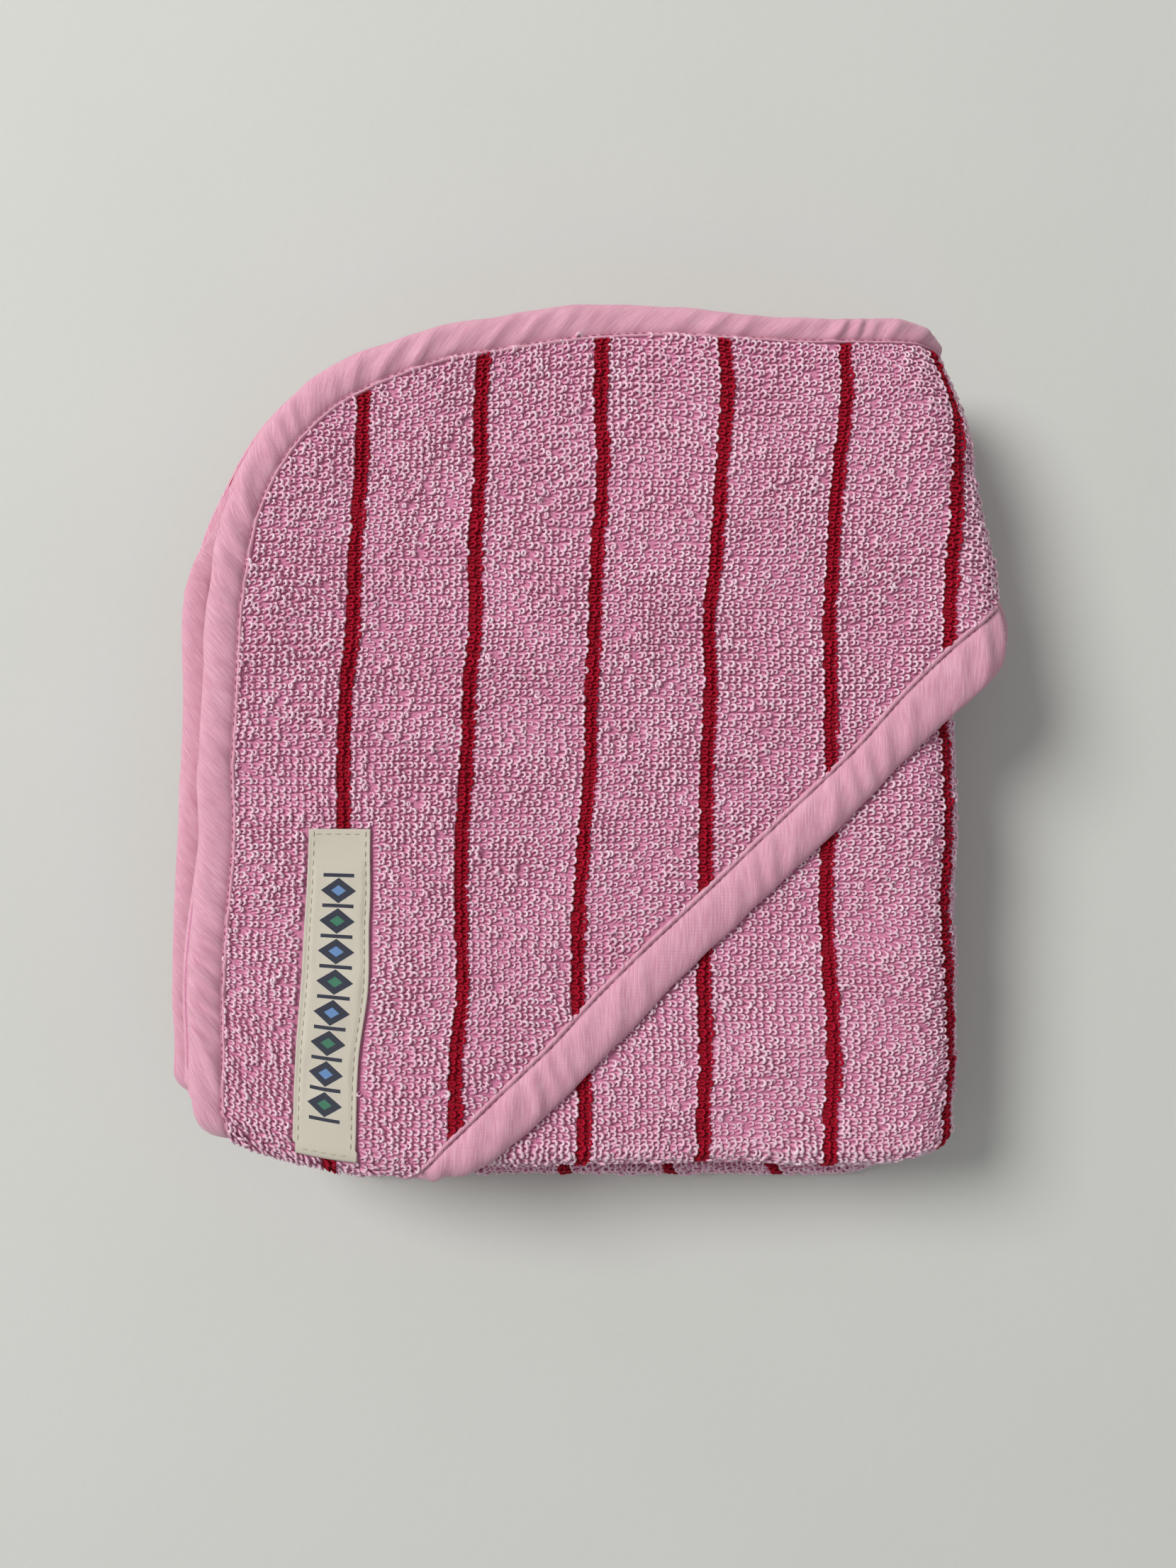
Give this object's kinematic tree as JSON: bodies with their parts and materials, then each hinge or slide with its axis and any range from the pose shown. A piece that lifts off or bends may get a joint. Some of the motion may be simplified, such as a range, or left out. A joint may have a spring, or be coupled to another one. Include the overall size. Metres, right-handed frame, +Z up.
{
  "type": "hooded baby towel",
  "caption": "Folded square terry baby towel with a corner hood, cotton bias-bound edges, woven vertical stripes and a sewn-on label.",
  "frame": {"origin": "centre of the packet's outer box in plan, on the surface that the folded towel lies on", "axes": "+X across the packet, from the bound edges towards the last fold's spine; +Y up the packet, from the folds at its foot towards the bound top edge and along the stripes; +Z up, out of the hood's face"},
  "size_m": [0.254, 0.271, 0.05],
  "materials": {
    "terry": "looped cotton terry, mid pink with woven crimson stripes",
    "binding_cotton": "plain-woven cotton bias tape, pink",
    "pink_thread": "spun sewing thread, dark pink",
    "label_satin": "woven satin ribbon, cream",
    "cream_thread": "spun sewing thread, cream"
  },
  "bodies": {
    "root": {"towel_body": "terry", "hood_panel": "terry", "edge_binding": "binding_cotton", "hood_binding": "binding_cotton", "edge_stitching": "pink_thread", "hood_stitching": "pink_thread", "woven_label": "label_satin", "label_stitching": "cream_thread"}
  },
  "joints": []
}
